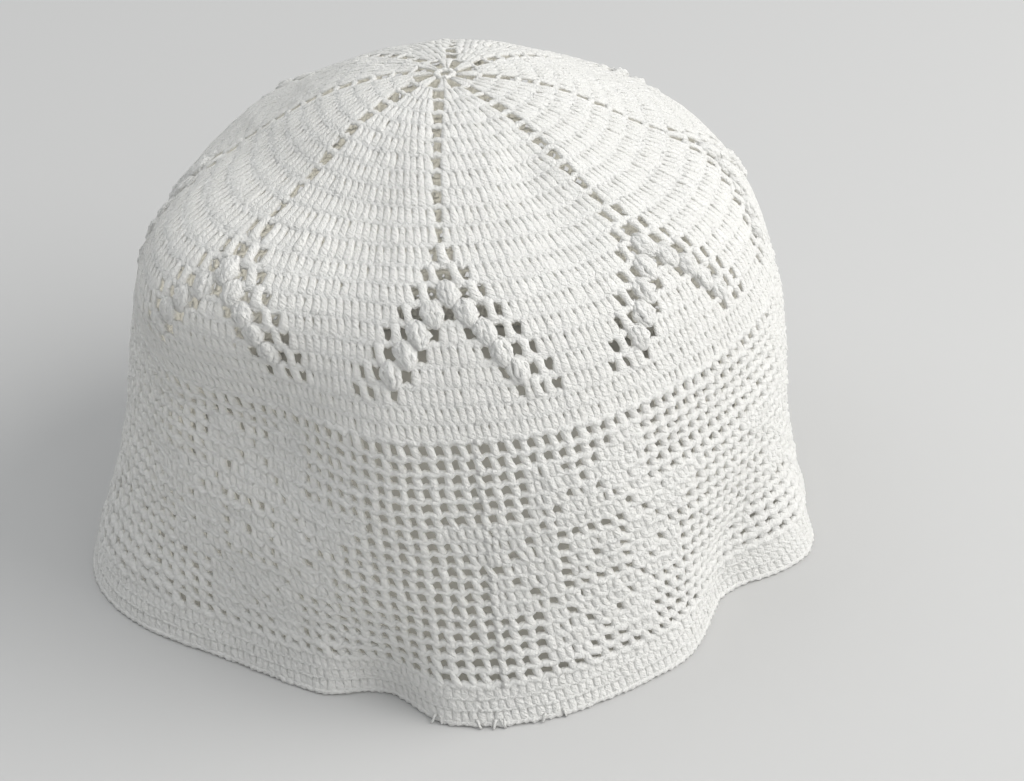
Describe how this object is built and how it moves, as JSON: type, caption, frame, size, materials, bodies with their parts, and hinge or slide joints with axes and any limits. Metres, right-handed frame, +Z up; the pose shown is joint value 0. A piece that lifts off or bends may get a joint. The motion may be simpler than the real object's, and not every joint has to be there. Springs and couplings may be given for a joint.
{
  "type": "baby bonnet",
  "caption": "Crocheted white cotton baby bonnet of bell shape with a solid crown, an open mesh skirt and a wavy solid hem, standing on its hem.",
  "frame": {"origin": "on the surface that the bonnet stands on, in the middle of its outline seen from above", "axes": "+Z up through the crown, -Y towards the front that the picture shows, +X to the right of that view"},
  "size_m": [0.1808, 0.1702, 0.1193],
  "materials": {
    "cotton": "matte crocheted cotton"
  },
  "bodies": {
    "root": {"crown": "cotton", "mesh_skirt": "cotton", "hem_edging": "cotton"}
  },
  "joints": []
}
